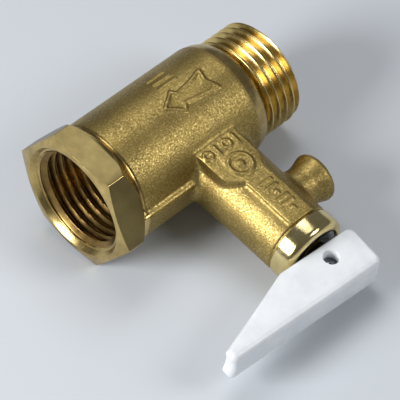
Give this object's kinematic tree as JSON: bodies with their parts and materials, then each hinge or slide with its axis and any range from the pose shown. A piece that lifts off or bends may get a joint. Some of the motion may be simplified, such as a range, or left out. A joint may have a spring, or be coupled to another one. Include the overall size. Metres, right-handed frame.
{
  "type": "boiler safety valve",
  "caption": "Brass tee safety valve for a storage water heater: hexagon socket end, threaded male end, sprung relief branch with drain spout, and a plastic test lever.",
  "frame": {"origin": "on the run axis, in the plane of the hexagon's end face", "axes": "+X along the run from the hexagon to the male thread, -Y along the relief branch to the lever, +Z square to the forging's parting plane, on the side with the flow arrow"},
  "size_m": [0.0509, 0.0604, 0.025],
  "materials": {
    "forged_brass": "shot-blasted forging with turned ends",
    "turned_brass": "turned, satin",
    "black_plastic": "glossy",
    "white_plastic": "satin moulding with light scuffs",
    "natural_plastic": "natural acetal moulding",
    "spring_steel": "drawn stainless wire",
    "pin_steel": "polished",
    "black_rubber": "matt nitrile rubber"
  },
  "bodies": {
    "valve": {"valve_body": "forged_brass", "bonnet_plug": "black_plastic", "spring_washer": "spring_steel", "relief_spring": "spring_steel", "check_spring": "spring_steel", "check_guide": "natural_plastic", "snap_ring": "spring_steel"},
    "relief": {"relief_stem": "turned_brass", "relief_seal": "black_rubber"},
    "test_lever": {"lever": "white_plastic", "lever_pin": "pin_steel"},
    "check": {"check_poppet": "natural_plastic", "check_ring": "black_rubber"}
  },
  "joints": [
    {"name": "relief_lift", "type": "slide", "parent": "valve", "child": "relief", "axis": [0, -1, 0], "range_m": [0, 0.00584], "stiffness_N_per_m": 11800, "deforming": ["relief_spring"]},
    {"name": "lever_swing", "type": "hinge", "parent": "relief", "child": "test_lever", "pos_m": [0.0261, -0.03965, 0], "axis": [0, 0, 1], "range_deg": [0, 95]},
    {"name": "check_open", "type": "slide", "parent": "valve", "child": "check", "axis": [-1, 0, 0], "range_m": [0, 0.004], "stiffness_N_per_m": 1500, "deforming": ["check_spring"]}
  ],
  "couplings": [
    {"joint": "lever_swing", "follows": "relief_lift", "rad_per_m": 268.8}
  ]
}
